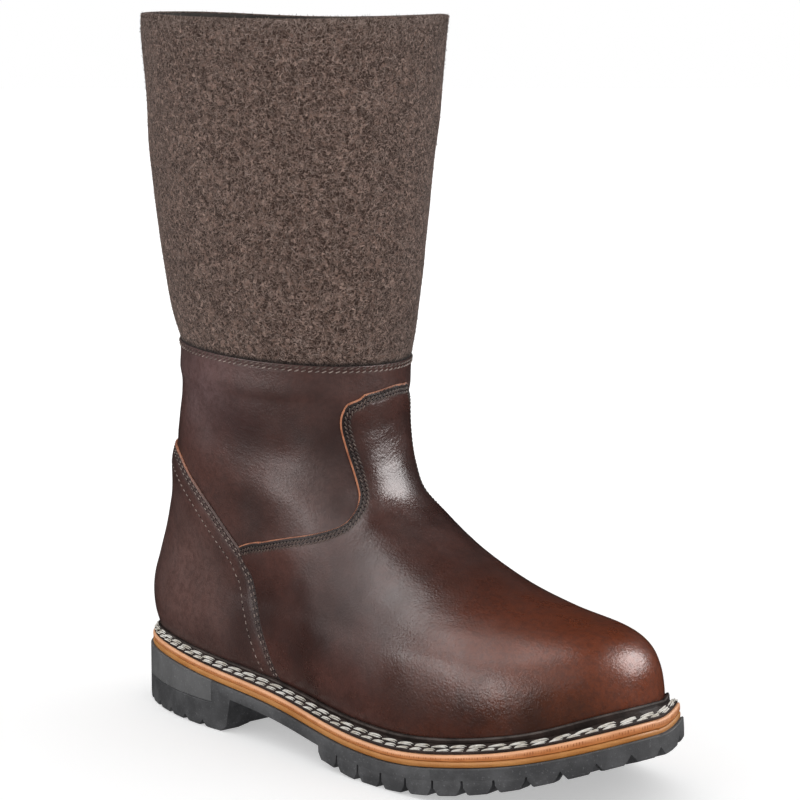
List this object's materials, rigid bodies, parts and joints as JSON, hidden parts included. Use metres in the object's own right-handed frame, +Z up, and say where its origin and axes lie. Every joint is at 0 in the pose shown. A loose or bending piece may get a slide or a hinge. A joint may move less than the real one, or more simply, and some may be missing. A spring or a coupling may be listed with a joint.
{
  "type": "winter boot",
  "caption": "Mid-calf winter boot for the right foot: felt shaft on a smooth brown leather upper, stitched welt, tan midsoles and a lugged rubber sole with heel.",
  "frame": {"origin": "on the ground, under the middle of the boot's outer box", "axes": "+X towards the toe, +Y towards the inner side of the foot, +Z up"},
  "size_m": [0.3104, 0.1234, 0.3174],
  "materials": {
    "lug_rubber": "matt dark grey moulded rubber",
    "lift_rubber": "matt lighter grey rubber",
    "ochre_midsole": "waxed cut edge, ochre",
    "tan_midsole": "waxed cut edge, orange tan",
    "welt_leather": "dark brown, stitched",
    "insole_leather": "plain matt",
    "quarter_leather": "oiled smooth, reddish dark brown",
    "vamp_leather": "polished smooth, reddish dark brown",
    "counter_leather": "oiled smooth, reddish dark brown",
    "grey_brown_felt": "mottled wool felt"
  },
  "bodies": {
    "root": {"outsole": "lug_rubber", "heel": "lug_rubber", "heel_lift": "lift_rubber", "midsole_base": "ochre_midsole", "midsole_top": "tan_midsole", "welt": "welt_leather", "insole": "insole_leather", "upper": "quarter_leather", "vamp": "vamp_leather", "heel_counter": "counter_leather", "shaft": "grey_brown_felt"}
  },
  "joints": []
}
